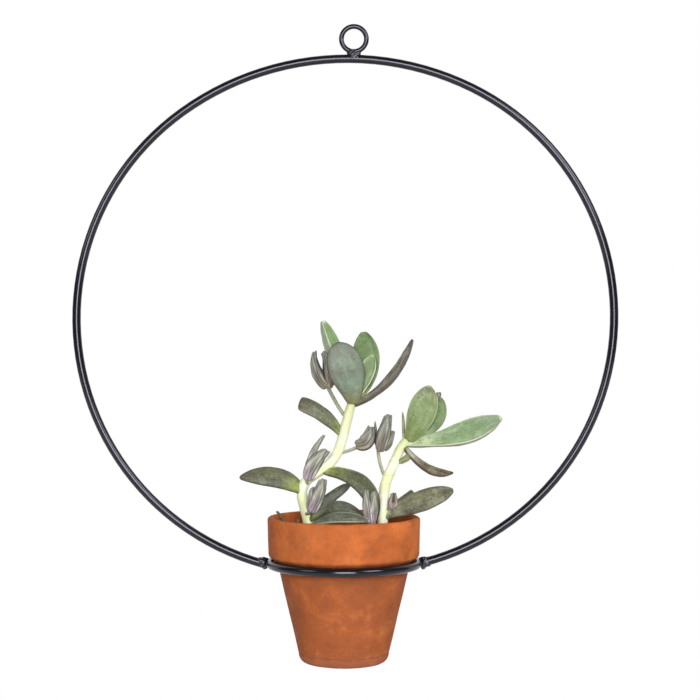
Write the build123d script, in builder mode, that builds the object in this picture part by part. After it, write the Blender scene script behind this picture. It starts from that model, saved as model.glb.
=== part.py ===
from build123d import *
import os
from math import acos, atan2, cos, degrees, radians, sin, sqrt, tan

os.makedirs("parts", exist_ok=True)

# Hanging planter: a hoop of steel rod with a small hanging eye on top and a level ring at its foot.
# A clay flower pot drops into the ring and holds a paddle-leaved succulent in its soil.
# The origin is the centre of the hanging eye. The hoop stands in the XZ plane, and +Z is up.

# Hoop, eye and pot ring of coated steel rod
rod_radius = 3.0
hoop_half_width = 188.2
hoop_side_radius = 178.1
hoop_rise = 180.9
hoop_tilt = 4.8
hoop_offset = 6.0
eye_radius = 8.75
eye_wire_radius = 1.75
eye_gap = 0.4
ring_offset = 7.0
ring_lift = 0.35
ring_play = 2.6
root_gap = 0.8

# Weld beads
side_bead_radius = 3.6
side_bead_stand_off = 1.5
side_lobe_radius = 2.8
side_lobe_rise = 2.4
eye_bead_radius = 3.2
eye_lobe_radius = 3.0
eye_lobe_spread = 2.0

# Clay pot
pot_rim_radius = 53.4
rim_flare = 0.7
rim_step = 6.6
body_taper = 16.1
pot_rim_height = 26.6
pot_body_height = 68.1
pot_wall = 5.1
pot_floor = 6.5
drain_radius = 6.0
seat_angle = 45.0
seat_clearance = 0.3
lip_round = 2.0
rim_round = 3.5
neck_round = 1.2
inner_round = 3.0
foot_round = 5.6
drain_round = 0.8

# Soil and plant
soil_clearance = 0.4
soil_depth = 12.0
plant_height = 140.0

# The pot's other radii, from its rim inwards and down
pot_rim_low_radius = pot_rim_radius - rim_flare
pot_neck_radius = pot_rim_low_radius - rim_step
pot_base_radius = pot_neck_radius - body_taper

# Hoop geometry. The centre line is three tangent arcs, one over the top and one down each side.
side_shift = hoop_half_width - hoop_side_radius
rise_excess = hoop_rise - hoop_side_radius
top_drop = (side_shift**2 - rise_excess**2) / (2 * rise_excess)
top_radius = hoop_rise + top_drop
tilt = radians(hoop_tilt)
tilt_across = Vector(cos(tilt), 0, sin(tilt))
tilt_up = Vector(-sin(tilt), 0, cos(tilt))
eye_outer_radius = eye_radius + eye_wire_radius
hoop_top_z = -(eye_outer_radius + eye_gap + rod_radius)
top_centre_x = -hoop_offset + top_drop * sin(tilt)
top_centre = Vector(top_centre_x, 0, hoop_top_z - sqrt(top_radius**2 - top_centre_x**2))
hoop_centre = top_centre + tilt_up * top_drop
left_centre = hoop_centre - tilt_across * side_shift
right_centre = hoop_centre + tilt_across * side_shift
meet_angle = degrees(atan2(top_drop, side_shift))
right_meet_angle = hoop_tilt + meet_angle
left_meet_angle = hoop_tilt + 180 - meet_angle

# Ring geometry. The rod of the hoop stops short of the ring by the root gap, which the weld fills.
ring_x = -ring_offset
ring_radius = pot_neck_radius + ring_play + rod_radius
rod_reach = ring_radius + rod_radius + root_gap
left_end_angle = 360 - degrees(acos((ring_x - rod_reach - left_centre.X) / hoop_side_radius))
right_end_angle = -degrees(acos((ring_x + rod_reach - right_centre.X) / hoop_side_radius))
left_end_z = left_centre.Z + hoop_side_radius * sin(radians(left_end_angle))
right_end_z = right_centre.Z + hoop_side_radius * sin(radians(right_end_angle))
ring_z = (left_end_z + right_end_z) / 2 + ring_lift

# Pot geometry. The cone under the rim seats on the inner shoulder of the ring.
seat_slope = tan(radians(seat_angle))
seat_reach = rod_radius + seat_clearance
seat_radius = ring_radius - seat_reach * sin(radians(seat_angle))
seat_z = ring_z + seat_reach * cos(radians(seat_angle))
rim_low_z = seat_z + (pot_rim_low_radius - seat_radius) * seat_slope
neck_z = seat_z - (seat_radius - pot_neck_radius) * seat_slope
pot_top_z = rim_low_z + pot_rim_height
pot_base_z = neck_z - pot_body_height
pot_floor_z = pot_base_z + pot_floor
body_slope = (pot_neck_radius - pot_base_radius) / pot_body_height
lip_radius = pot_rim_radius - pot_wall
shoulder_radius = pot_rim_low_radius - pot_wall
throat_radius = pot_neck_radius - pot_wall
wall_rise = pot_wall / cos(radians(seat_angle)) - pot_wall * seat_slope
shoulder_z = rim_low_z + wall_rise
throat_z = neck_z + wall_rise
floor_radius = throat_radius - (throat_z - pot_floor_z) * body_slope
pot_axis = Axis((ring_x, 0, 0), (0, 0, 1))
pot_plane = Plane(origin=(ring_x, 0, 0), x_dir=(1, 0, 0), z_dir=(0, -1, 0))

# Soil geometry
soil_top_z = pot_top_z - soil_depth
soil_top_radius = shoulder_radius + (lip_radius - shoulder_radius) * (
    soil_top_z - shoulder_z
) / (pot_top_z - shoulder_z)

# Plant layout. Each place is x, y and z from the middle of the pot's mouth, in shares of the plant's
# height, so that a stem or a leaf follows the pot and the size of the plant.

# Stems: the middle of the stem from the root up, and its radius there
tall_stem_shares = (
    ((-0.170, 0.010, -0.110), 0.031),
    ((-0.178, 0.010, -0.020), 0.030),
    ((-0.200, 0.010, 0.062), 0.028),
    ((-0.210, 0.008, 0.122), 0.027),
    ((-0.187, 0.005, 0.180), 0.026),
    ((-0.130, 0.000, 0.222), 0.026),
    ((-0.070, 0.000, 0.268), 0.026),
    ((-0.028, 0.000, 0.330), 0.026),
    ((-0.008, 0.000, 0.392), 0.026),
    ((0.010, 0.000, 0.462), 0.026),
    ((0.028, 0.000, 0.530), 0.024),
    ((0.042, 0.000, 0.580), 0.020),
)
right_stem_shares = (
    ((0.192, -0.010, -0.110), 0.026),
    ((0.194, -0.010, -0.020), 0.026),
    ((0.197, -0.010, 0.062), 0.026),
    ((0.202, -0.010, 0.135), 0.027),
    ((0.212, -0.009, 0.180), 0.027),
    ((0.233, -0.008, 0.230), 0.026),
    ((0.263, -0.005, 0.298), 0.025),
    ((0.288, -0.002, 0.350), 0.024),
    ((0.314, 0.000, 0.386), 0.020),
)

# Leaf outlines: how far along the leaf, then the width and thickness there
paddle_shares = (
    (0.00, 0.36, 0.70),
    (0.12, 0.47, 0.85),
    (0.30, 0.74, 1.00),
    (0.50, 0.96, 1.00),
    (0.67, 1.00, 0.98),
    (0.82, 0.88, 0.86),
    (0.93, 0.60, 0.62),
    (1.00, 0.20, 0.24),
)
spoon_shares = (
    (0.00, 0.26, 0.90),
    (0.16, 0.34, 0.95),
    (0.36, 0.64, 1.00),
    (0.52, 0.91, 1.00),
    (0.67, 1.00, 0.98),
    (0.80, 0.90, 0.88),
    (0.92, 0.60, 0.62),
    (1.00, 0.18, 0.24),
)
oval_shares = (
    (0.00, 0.38, 0.70),
    (0.10, 0.58, 0.85),
    (0.26, 0.88, 1.00),
    (0.46, 1.00, 1.00),
    (0.66, 0.97, 0.96),
    (0.82, 0.78, 0.82),
    (0.93, 0.47, 0.55),
    (1.00, 0.16, 0.24),
)
slender_shares = (
    (0.00, 0.45, 0.70),
    (0.20, 0.70, 0.95),
    (0.45, 1.00, 1.00),
    (0.70, 0.92, 0.90),
    (0.88, 0.62, 0.65),
    (1.00, 0.18, 0.24),
)
curved_shares = (
    (0.00, 0.36, 0.70),
    (0.20, 0.50, 0.90),
    (0.42, 0.82, 1.00),
    (0.66, 1.00, 0.95),
    (0.88, 0.66, 0.65),
    (1.00, 0.18, 0.24),
)
blunt_shares = (
    (0.00, 0.40, 0.70),
    (0.20, 0.62, 0.90),
    (0.45, 0.90, 1.00),
    (0.75, 1.00, 0.95),
    (0.94, 0.98, 0.80),
    (1.00, 0.84, 0.55),
)
lobe_shares = (
    (0.00, 0.66, 0.80),
    (0.22, 0.92, 1.00),
    (0.48, 1.00, 1.00),
    (0.74, 0.84, 0.88),
    (0.91, 0.56, 0.64),
    (1.00, 0.28, 0.36),
)

# Leaves: outline, the places of the base, the middle pull and the tip, the way that the face looks,
# then the width and the thickness
leaf_shares = {
    "crown_front_leaf": (
        paddle_shares, (0.046, -0.010, 0.568), (0.042, -0.085, 0.700), (-0.042, -0.070, 0.868),
        (0.10, -1.00, 0.10), 0.192, 0.042,
    ),
    "crown_back_left_leaf": (
        paddle_shares, (0.034, 0.008, 0.575), (-0.010, 0.085, 0.720), (-0.108, 0.075, 0.980),
        (0.72, -0.68, 0.12), 0.134, 0.036,
    ),
    "crown_back_right_leaf": (
        paddle_shares, (0.044, 0.010, 0.575), (0.142, 0.110, 0.700), (0.097, 0.100, 0.925),
        (-0.30, -1.00, 0.05), 0.154, 0.036,
    ),
    "crown_inner_leaf": (
        paddle_shares, (0.052, 0.000, 0.585), (0.106, 0.030, 0.680), (0.146, 0.028, 0.806),
        (-0.50, -0.85, 0.10), 0.095, 0.026,
    ),
    "crown_curved_leaf": (
        curved_shares, (0.034, 0.000, 0.556), (0.248, -0.010, 0.632), (0.341, -0.045, 0.886),
        (-0.62, -0.50, 0.60), 0.077, 0.040,
    ),
    "blunt_leaf": (
        blunt_shares, (-0.010, 0.000, 0.408), (-0.076, -0.030, 0.516), (-0.222, -0.045, 0.571),
        (0.20, -0.85, 0.50), 0.090, 0.032,
    ),
    "far_left_leaf": (
        oval_shares, (-0.205, 0.008, 0.126), (-0.305, -0.020, 0.232), (-0.518, -0.045, 0.198),
        (0.05, -0.80, 0.60), 0.122, 0.036,
    ),
    "arching_leaf": (
        slender_shares, (-0.105, 0.000, 0.232), (0.156, -0.120, 0.228), (0.160, -0.085, -0.006),
        (0.45, -0.75, 0.50), 0.116, 0.036,
    ),
    "dark_leaf": (
        slender_shares, (-0.178, 0.012, 0.000), (-0.060, 0.070, 0.103), (0.038, 0.075, 0.160),
        (0.30, -0.85, 0.50), 0.060, 0.026,
    ),
    "low_dome_leaf": (
        slender_shares, (-0.178, 0.000, -0.018), (-0.040, -0.090, 0.115), (0.092, -0.105, 0.012),
        (0.10, -0.80, 0.60), 0.078, 0.034,
    ),
    "low_front_leaf": (
        slender_shares, (-0.174, 0.000, -0.050), (-0.050, -0.200, 0.045), (0.125, -0.180, -0.005),
        (0.05, -0.75, 0.65), 0.070, 0.034,
    ),
    "right_front_leaf": (
        paddle_shares, (0.322, -0.010, 0.380), (0.382, -0.060, 0.478), (0.426, -0.045, 0.655),
        (0.05, -1.00, 0.15), 0.148, 0.036,
    ),
    "right_back_leaf": (
        paddle_shares, (0.316, 0.006, 0.388), (0.466, 0.055, 0.436), (0.486, 0.050, 0.594),
        (-0.30, -0.95, 0.15), 0.116, 0.030,
    ),
    "right_long_leaf": (
        spoon_shares, (0.308, 0.000, 0.368), (0.556, -0.050, 0.376), (0.781, -0.075, 0.498),
        (-0.20, -0.80, 0.58), 0.150, 0.034,
    ),
    "right_drooping_leaf": (
        slender_shares, (0.292, 0.000, 0.362), (0.408, -0.070, 0.202), (0.541, -0.085, 0.226),
        (0.50, -0.60, 0.65), 0.070, 0.034,
    ),
    "right_stub_leaf": (
        blunt_shares, (0.255, -0.004, 0.272), (0.296, -0.020, 0.274), (0.328, -0.030, 0.308),
        (0.30, -0.80, -0.50), 0.040, 0.024,
    ),
    "right_spike": (
        slender_shares, (0.297, 0.000, 0.372), (0.302, 0.010, 0.440), (0.294, 0.012, 0.525),
        (0.00, -1.00, 0.00), 0.018, 0.012,
    ),
    "low_right_leaf": (
        paddle_shares, (0.202, -0.012, 0.004), (0.326, -0.070, 0.073), (0.541, -0.080, 0.139),
        (-0.20, -0.80, 0.58), 0.128, 0.036,
    ),
    "low_right_back_leaf": (
        blunt_shares, (0.202, 0.000, 0.030), (0.272, 0.050, 0.062), (0.348, 0.055, 0.120),
        (-0.30, -0.85, 0.45), 0.036, 0.022,
    ),
}

# Buds: the stalk from the stem or the soil up, its radius, and the lobes
bud_shares = {
    "upper_bud": (
        ((0.008, 0.020, 0.500), (-0.028, 0.025, 0.550), (-0.080, 0.020, 0.645)), 0.010,
        (
            ((-0.088, 0.016, 0.650), (-0.150, 0.030, 0.705), (-0.151, 0.020, 0.824),
             (-0.55, -0.80, 0.10), 0.066, 0.045),
            ((-0.076, 0.024, 0.645), (-0.064, 0.034, 0.730), (-0.101, 0.024, 0.828),
             (0.50, -0.85, 0.10), 0.068, 0.045),
        ),
    ),
    "left_bud": (
        ((-0.182, -0.010, 0.165), (-0.186, -0.020, 0.180), (-0.188, -0.028, 0.200)), 0.010,
        (
            ((-0.181, -0.028, 0.190), (-0.164, -0.040, 0.266), (-0.086, -0.035, 0.336),
             (0.20, -0.90, 0.35), 0.080, 0.050),
            ((-0.190, -0.012, 0.215), (-0.178, 0.005, 0.300), (-0.100, 0.000, 0.408),
             (0.20, -0.90, 0.20), 0.034, 0.022),
        ),
    ),
    "low_left_bud": (
        ((-0.188, -0.010, 0.015), (-0.178, -0.030, 0.020), (-0.168, -0.038, 0.030)), 0.010,
        (
            ((-0.162, -0.038, 0.028), (-0.126, -0.060, 0.095), (-0.103, -0.045, 0.192),
             (0.20, -0.90, 0.20), 0.070, 0.046),
            ((-0.170, -0.034, 0.030), (-0.168, -0.050, 0.085), (-0.150, -0.040, 0.150),
             (-0.50, -0.85, 0.15), 0.048, 0.036),
        ),
    ),
    "middle_bud": (
        ((0.205, -0.008, 0.200), (0.180, -0.004, 0.270), (0.170, 0.000, 0.345)), 0.009,
        (
            ((0.180, -0.004, 0.328), (0.196, -0.030, 0.410), (0.222, -0.020, 0.512),
             (0.10, -1.00, 0.10), 0.072, 0.046),
            ((0.066, -0.008, 0.364), (0.124, -0.012, 0.352), (0.142, 0.000, 0.450),
             (-0.30, -0.95, 0.20), 0.084, 0.054),
            ((0.200, 0.004, 0.334), (0.228, 0.010, 0.360), (0.246, 0.010, 0.428),
             (0.60, -0.80, 0.10), 0.042, 0.034),
            ((0.166, 0.004, 0.345), (0.156, 0.012, 0.400), (0.156, 0.012, 0.478),
             (0.00, -1.00, 0.00), 0.022, 0.018),
        ),
    ),
    "small_right_bud": (
        ((0.200, -0.010, 0.040), (0.220, -0.022, 0.042), (0.238, -0.030, 0.050)), 0.009,
        (
            ((0.238, -0.030, 0.044), (0.246, -0.036, 0.080), (0.247, -0.032, 0.122),
             (0.10, -1.00, 0.10), 0.048, 0.038),
        ),
    ),
    "low_middle_bud": (
        ((0.127, -0.150, -0.110), (0.129, -0.150, -0.060), (0.134, -0.150, -0.012)), 0.016,
        (
            ((0.132, -0.150, -0.020), (0.114, -0.165, 0.060), (0.110, -0.150, 0.142),
             (-0.30, -0.95, 0.05), 0.052, 0.042),
            ((0.138, -0.150, -0.020), (0.150, -0.160, 0.060), (0.146, -0.150, 0.138),
             (0.40, -0.90, 0.05), 0.050, 0.038),
        ),
    ),
}

# The stalk from the tall stem to the left lobe of the middle bud
bridge_stalk_shares = ((-0.024, 0.000, 0.318), (0.034, -0.004, 0.334), (0.094, -0.006, 0.362))
bridge_radius_share = 0.009

# Dry twigs standing in the soil: the foot, the middle and the tip, and the radius. They stand by the
# pot's lip, so they are in shares of its radius.
twig_shares = (
    ((-0.783, 0.029, -0.319), (-0.893, 0.029, -0.043), (-0.974, 0.029, 0.070), 0.0203),
    ((-0.841, -0.058, -0.319), (-0.858, -0.058, -0.174), (-0.884, -0.058, -0.014), 0.0174),
    ((-0.652, -0.174, -0.319), (-0.667, -0.174, -0.174), (-0.661, -0.174, -0.023), 0.0203),
)


def plant_point(place, size=plant_height):
    """The point of the model for a place in shares of a size, mostly the plant's height."""
    x, y, z = place
    mouth = Vector(ring_x, 0, pot_top_z)
    return mouth + Vector(x, y, z) * size


def finish(body, name):
    """Label a finished piece and write it to its file."""
    body.label = name
    export_step(body, f"parts/{name}.step")


def stem_solid(shares):
    """A round stem that follows its places, with a rounded top, cut off level at the soil."""
    points = [plant_point(place) for place, radius in shares]
    radii = [radius * plant_height for place, radius in shares]
    with BuildPart() as stem:
        for i, point in enumerate(points):
            before = points[max(i - 1, 0)]
            after = points[min(i + 1, len(points) - 1)]
            with BuildSketch(Plane(origin=point, x_dir=(0, 1, 0), z_dir=after - before)):
                Circle(radii[i])
        loft(ruled=True)
        with Locations(points[-1]):
            Sphere(radii[-1])
        split(bisect_by=Plane.XY.offset(soil_top_z), keep=Keep.TOP)
    return stem.part


def stalk_solid(places, radius, size=plant_height):
    """A thin round stalk through three places."""
    points = [plant_point(place, size) for place in places]
    with BuildPart() as stalk:
        with BuildLine() as path:
            ThreePointArc(*points)
        with BuildSketch(Plane(origin=path.line @ 0, z_dir=path.line % 0)):
            Circle(radius * size)
        sweep()
        with Locations(points[-1]):
            Sphere(radius * size)
    return stalk.part


def blade_solid(outline, base, middle, tip, face, width, thickness):
    """A fleshy blade: lens sections lofted along a curve from its base to its tip."""
    root = plant_point(base)
    pull = plant_point(middle)
    end = plant_point(tip)
    with BuildPart() as blade:
        for along, wide, thick in outline:
            back = 1 - along
            centre = root * back**2 + pull * (2 * along * back) + end * along**2
            heading = (pull - root) * back + (end - pull) * along
            across = heading.cross(Vector(face))
            half_width = width * wide * plant_height / 2
            half_thickness = thickness * thick * plant_height / 2
            with BuildSketch(Plane(origin=centre, x_dir=across, z_dir=heading)):
                with BuildLine():
                    ThreePointArc((-half_width, 0), (0, half_thickness), (half_width, 0))
                    ThreePointArc((half_width, 0), (0, -half_thickness), (-half_width, 0))
                make_face()
        loft()
    return blade.part


def bud_solid(stalk_places, stalk_radius, lobes):
    """A bud of fleshy lobes on a stalk, as one solid."""
    with BuildPart() as bud:
        add(stalk_solid(stalk_places, stalk_radius))
        for lobe in lobes:
            add(blade_solid(lobe_shares, *lobe))
    return bud.part


def boxes_meet(first, second):
    """Whether the boxes round two bodies meet."""
    a = first.bounding_box()
    b = second.bounding_box()
    across = a.min.X <= b.max.X and b.min.X <= a.max.X
    along = a.min.Y <= b.max.Y and b.min.Y <= a.max.Y
    upright = a.min.Z <= b.max.Z and b.min.Z <= a.max.Z
    return across and along and upright


def trimmed(body, neighbours):
    """The body without the room of its neighbours, so that it meets them face to face."""
    with BuildPart() as cut:
        add(body)
        for neighbour in neighbours:
            if boxes_meet(body, neighbour):
                add(neighbour, mode=Mode.SUBTRACT)
    return cut.part


def largest_solid(body):
    """The main solid of a body, without the crumbs that a trim can leave."""
    return Part(body.solids().sort_by(SortBy.VOLUME)[-1].wrapped)


# Hoop
with BuildPart() as hoop:
    with BuildLine(Plane.XZ) as hoop_line:
        CenterArc(
            (left_centre.X, left_centre.Z),
            hoop_side_radius,
            left_end_angle,
            left_meet_angle - left_end_angle,
        )
        CenterArc(
            (top_centre.X, top_centre.Z),
            top_radius,
            left_meet_angle,
            right_meet_angle - left_meet_angle,
        )
        CenterArc(
            (right_centre.X, right_centre.Z),
            hoop_side_radius,
            right_meet_angle,
            right_end_angle - right_meet_angle,
        )
    with BuildSketch(Plane(origin=hoop_line.line @ 0, z_dir=hoop_line.line % 0)):
        Circle(rod_radius)
    sweep()
finish(hoop.part, "hoop")

# Hanging eye
with BuildPart() as hanging_eye:
    with BuildSketch(Plane.XY) as eye_section:
        with Locations((eye_radius, 0)):
            Circle(eye_wire_radius)
    revolve(axis=Axis.Y)
finish(hanging_eye.part, "hanging_eye")

# Pot ring
with BuildPart() as pot_ring:
    with BuildSketch(pot_plane) as ring_section:
        with Locations((ring_radius, ring_z)):
            Circle(rod_radius)
    revolve(axis=pot_axis)
finish(pot_ring.part, "pot_ring")

# Weld beads. Each one is a lumpy run of metal round the joint that it closes.
with BuildPart() as eye_weld:
    with Locations((0, 0, -eye_outer_radius)):
        Sphere(eye_bead_radius)
    with Locations((-eye_lobe_spread, 0, -eye_outer_radius), (eye_lobe_spread, 0, -eye_outer_radius)):
        Sphere(eye_lobe_radius)
    add(hanging_eye.part, mode=Mode.SUBTRACT)
    add(hoop.part, mode=Mode.SUBTRACT)
finish(eye_weld.part, "eye_weld")

bead_reach = ring_radius + rod_radius + side_bead_stand_off
for name, side in (("left_weld", -1), ("right_weld", 1)):
    bead_x = ring_x + side * bead_reach
    with BuildPart() as side_weld:
        with Locations((bead_x, 0, ring_z)):
            Sphere(side_bead_radius)
        with Locations((bead_x, 0, ring_z + side_lobe_rise), (bead_x, 0, ring_z - side_lobe_rise)):
            Sphere(side_lobe_radius)
        add(pot_ring.part, mode=Mode.SUBTRACT)
        add(hoop.part, mode=Mode.SUBTRACT)
    finish(side_weld.part, name)

# Clay pot
with BuildPart() as pot:
    with BuildSketch(pot_plane) as pot_section:
        with BuildLine():
            FilletPolyline(
                (drain_radius, pot_base_z),
                (pot_base_radius, pot_base_z),
                (pot_neck_radius, neck_z),
                (pot_rim_low_radius, rim_low_z),
                (pot_rim_radius, pot_top_z),
                (lip_radius, pot_top_z),
                (shoulder_radius, shoulder_z),
                (throat_radius, throat_z),
                (floor_radius, pot_floor_z),
                (drain_radius, pot_floor_z),
                radius=[
                    drain_round,
                    foot_round,
                    neck_round,
                    rim_round,
                    lip_round,
                    lip_round,
                    inner_round,
                    inner_round,
                    inner_round,
                    drain_round,
                ],
                close=True,
            )
        make_face()
    revolve(axis=pot_axis)
finish(pot.part, "pot")

# Soil, which fills the pot to its named depth below the mouth
with BuildPart() as soil:
    with BuildSketch(pot_plane) as soil_section:
        with BuildLine():
            FilletPolyline(
                (0, pot_floor_z + soil_clearance),
                (floor_radius - soil_clearance, pot_floor_z + soil_clearance),
                (throat_radius - soil_clearance, throat_z + soil_clearance / 2),
                (shoulder_radius - soil_clearance, shoulder_z + soil_clearance / 2),
                (soil_top_radius - soil_clearance, soil_top_z),
                (0, soil_top_z),
                radius=[0, inner_round, inner_round, inner_round, 0, 0],
                close=True,
            )
        make_face()
    revolve(axis=pot_axis)
finish(soil.part, "soil")

# Plant. The pieces are listed from the root outwards and from the front to the back, and each one is
# trimmed where it presses against those before it. The list keeps their whole shapes for that.
planted = [soil.part]
for name, shares in (("tall_stem", tall_stem_shares), ("right_stem", right_stem_shares)):
    stem = stem_solid(shares)
    finish(stem, name)
    planted.append(stem)

for name, shares in leaf_shares.items():
    leaf = blade_solid(*shares)
    finish(largest_solid(trimmed(leaf, planted)), name)
    planted.append(leaf)

for name, shares in bud_shares.items():
    bud = bud_solid(*shares)
    finish(largest_solid(trimmed(bud, planted)), name)
    planted.append(bud)

bridge_stalk = largest_solid(trimmed(stalk_solid(bridge_stalk_shares, bridge_radius_share), planted))
finish(bridge_stalk, "bridge_stalk")

with BuildPart() as twigs:
    for foot, middle, tip, radius in twig_shares:
        add(trimmed(stalk_solid((foot, middle, tip), radius, lip_radius), [soil.part]))
finish(twigs.part, "twigs")
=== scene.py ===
from math import ceil, cos, pi, radians, sin, tan
from random import Random

import bmesh
import bpy
from mathutils import Matrix, Vector


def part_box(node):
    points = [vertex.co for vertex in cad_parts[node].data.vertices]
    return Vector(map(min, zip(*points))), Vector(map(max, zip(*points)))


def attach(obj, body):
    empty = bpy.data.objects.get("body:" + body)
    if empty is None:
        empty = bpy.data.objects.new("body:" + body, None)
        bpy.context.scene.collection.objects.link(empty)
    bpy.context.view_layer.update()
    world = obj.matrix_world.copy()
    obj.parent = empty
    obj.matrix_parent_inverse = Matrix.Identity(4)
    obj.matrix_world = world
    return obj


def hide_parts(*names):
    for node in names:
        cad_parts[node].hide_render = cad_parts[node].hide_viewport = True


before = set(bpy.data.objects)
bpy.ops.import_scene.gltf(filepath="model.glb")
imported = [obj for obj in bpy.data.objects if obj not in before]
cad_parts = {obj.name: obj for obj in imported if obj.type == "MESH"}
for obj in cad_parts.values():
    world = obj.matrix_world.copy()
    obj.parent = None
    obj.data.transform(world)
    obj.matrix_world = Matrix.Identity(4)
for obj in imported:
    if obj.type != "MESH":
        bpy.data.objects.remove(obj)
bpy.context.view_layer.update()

# A clay pot hangs in a ring at the foot of a steel hoop, and a paddle-leaved succulent grows in it.
# All lengths are in metres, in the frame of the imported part.

pot_low, pot_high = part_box("pot")
soil_low, soil_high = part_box("soil")
ring_low, ring_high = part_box("pot_ring")
mouth = Vector(((pot_low.x + pot_high.x) / 2, (pot_low.y + pot_high.y) / 2, pot_high.z))
ring_centre = (ring_low + ring_high) / 2
soil_radius = (soil_high.x - soil_low.x) / 2
pot_axis = Vector((mouth.x, 0, 0))
plant_height = 0.140
lip_radius = 0.0483
weld_radius = 0.0027
eye_outer_radius = 0.0105
bead_stand_off = 0.0015

# Fineness of the meshes
blade_ring_count = 11
tip_crowding = 1.25
blade_sides = 16
stalk_sides = 10
stalk_steps = 8
corner_steps = 4
outline_step = 0.0030
spin_steps = 180
bead_voxel = 0.00024
soil_ring_count = 16
seed_size = 0.0030
in_plane = 1e-5
edge_share = 0.85

# The mix starts a little below its top, and its crumbs keep clear of the pot's wall
soil_sink = 0.0008
crumb_margin = 0.0035

# The pot's section: radius, height below the mouth and rounding of each corner, from the drain hole
# out, up the outside, over the lip and down the inside
pot_section = (
    (0.0060, -0.1013, 0.0008),
    (0.0300, -0.1013, 0.0056),
    (0.0316, -0.0954, 0.0010),
    (0.0314, -0.0946, 0.0006),
    (0.0318, -0.0938, 0.0010),
    (0.0461, -0.0332, 0.0012),
    (0.0527, -0.0266, 0.0030),
    (0.0534, 0.0000, 0.0020),
    (0.0483, 0.0000, 0.0020),
    (0.0476, -0.0245, 0.0030),
    (0.0410, -0.0311, 0.0030),
    (0.0259, -0.0948, 0.0030),
    (0.0060, -0.0948, 0.0008),
)

# The soil's side, from its top down: radius and depth
soil_section = ((0.0472, 0.0120), (0.0407, 0.0188), (0.0257, 0.0824))

# Weld beads as lumps: x towards the ring, y and z from the middle of the bead, and the radius, all in
# shares of the weld radius
side_lump_shares = (
    (-0.78, 0.05, 0.22, 1.30),
    (-0.10, -0.05, 0.30, 1.22),
    (0.10, 0.05, -0.42, 1.02),
    (0.05, -0.30, 1.02, 0.66),
    (0.50, 0.05, 0.86, 0.60),
    (0.92, 0.00, 0.98, 0.40),
    (0.28, -0.10, -1.18, 0.58),
    (-0.42, -0.48, -0.52, 0.62),
    (-0.28, -0.72, 0.42, 0.60),
    (-0.90, -0.62, 0.60, 0.60),
    (0.80, 0.00, -0.10, 0.84),
)
eye_lump_shares = (
    (0.00, 0.00, -0.10, 1.10),
    (-1.05, 0.00, 0.16, 0.80),
    (1.00, 0.00, 0.10, 0.78),
    (-0.62, -0.30, 0.34, 0.92),
    (-0.30, -0.46, -0.06, 0.90),
    (0.36, -0.40, -0.52, 0.66),
    (1.30, -0.10, 0.30, 0.50),
    (-1.28, -0.60, -1.02, 0.42),
    (-0.74, -0.80, -1.10, 0.42),
    (0.86, -0.80, -1.10, 0.42),
    (0.10, -0.62, -1.00, 0.62),
    (0.20, 0.62, -0.60, 0.70),
    (-0.50, 0.50, 0.20, 0.60),
)

# Places on the plant are x, y and z from the middle of the pot's mouth, in shares of the plant's height.

# Stems: the middle of the stem from the root up, and its radius there
tall_stem_shares = (
    ((-0.170, 0.010, -0.110), 0.031),
    ((-0.178, 0.010, -0.020), 0.030),
    ((-0.200, 0.010, 0.062), 0.028),
    ((-0.210, 0.008, 0.122), 0.027),
    ((-0.187, 0.005, 0.180), 0.026),
    ((-0.130, 0.000, 0.222), 0.026),
    ((-0.070, 0.000, 0.268), 0.026),
    ((-0.028, 0.000, 0.330), 0.026),
    ((-0.008, 0.000, 0.392), 0.026),
    ((0.010, 0.000, 0.462), 0.026),
    ((0.028, 0.000, 0.530), 0.024),
    ((0.042, 0.000, 0.580), 0.020),
)
right_stem_shares = (
    ((0.192, -0.010, -0.110), 0.026),
    ((0.194, -0.010, -0.020), 0.026),
    ((0.197, -0.010, 0.062), 0.026),
    ((0.202, -0.010, 0.135), 0.027),
    ((0.212, -0.009, 0.180), 0.027),
    ((0.233, -0.008, 0.230), 0.026),
    ((0.263, -0.005, 0.298), 0.025),
    ((0.288, -0.002, 0.350), 0.024),
    ((0.314, 0.000, 0.386), 0.020),
)

# Leaf outlines: how far along the leaf, then the width and thickness there
paddle_shares = (
    (0.00, 0.36, 0.70),
    (0.12, 0.47, 0.85),
    (0.30, 0.74, 1.00),
    (0.50, 0.96, 1.00),
    (0.67, 1.00, 0.98),
    (0.82, 0.88, 0.86),
    (0.93, 0.60, 0.62),
    (1.00, 0.20, 0.24),
)
spoon_shares = (
    (0.00, 0.36, 0.90),
    (0.16, 0.42, 0.95),
    (0.36, 0.64, 1.00),
    (0.52, 0.91, 1.00),
    (0.67, 1.00, 0.98),
    (0.80, 0.90, 0.88),
    (0.92, 0.60, 0.62),
    (1.00, 0.18, 0.24),
)
oval_shares = (
    (0.00, 0.38, 0.70),
    (0.10, 0.58, 0.85),
    (0.26, 0.88, 1.00),
    (0.46, 1.00, 1.00),
    (0.66, 0.97, 0.96),
    (0.82, 0.78, 0.82),
    (0.93, 0.47, 0.55),
    (1.00, 0.16, 0.24),
)
slender_shares = (
    (0.00, 0.45, 0.70),
    (0.20, 0.70, 0.95),
    (0.45, 1.00, 1.00),
    (0.70, 0.92, 0.90),
    (0.88, 0.62, 0.65),
    (1.00, 0.18, 0.24),
)
curved_shares = (
    (0.00, 0.36, 0.70),
    (0.20, 0.50, 0.90),
    (0.42, 0.82, 1.00),
    (0.66, 1.00, 0.95),
    (0.88, 0.66, 0.65),
    (1.00, 0.18, 0.24),
)
blunt_shares = (
    (0.00, 0.40, 0.70),
    (0.20, 0.62, 0.90),
    (0.45, 0.90, 1.00),
    (0.75, 1.00, 0.95),
    (0.94, 0.98, 0.80),
    (1.00, 0.84, 0.55),
)
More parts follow.
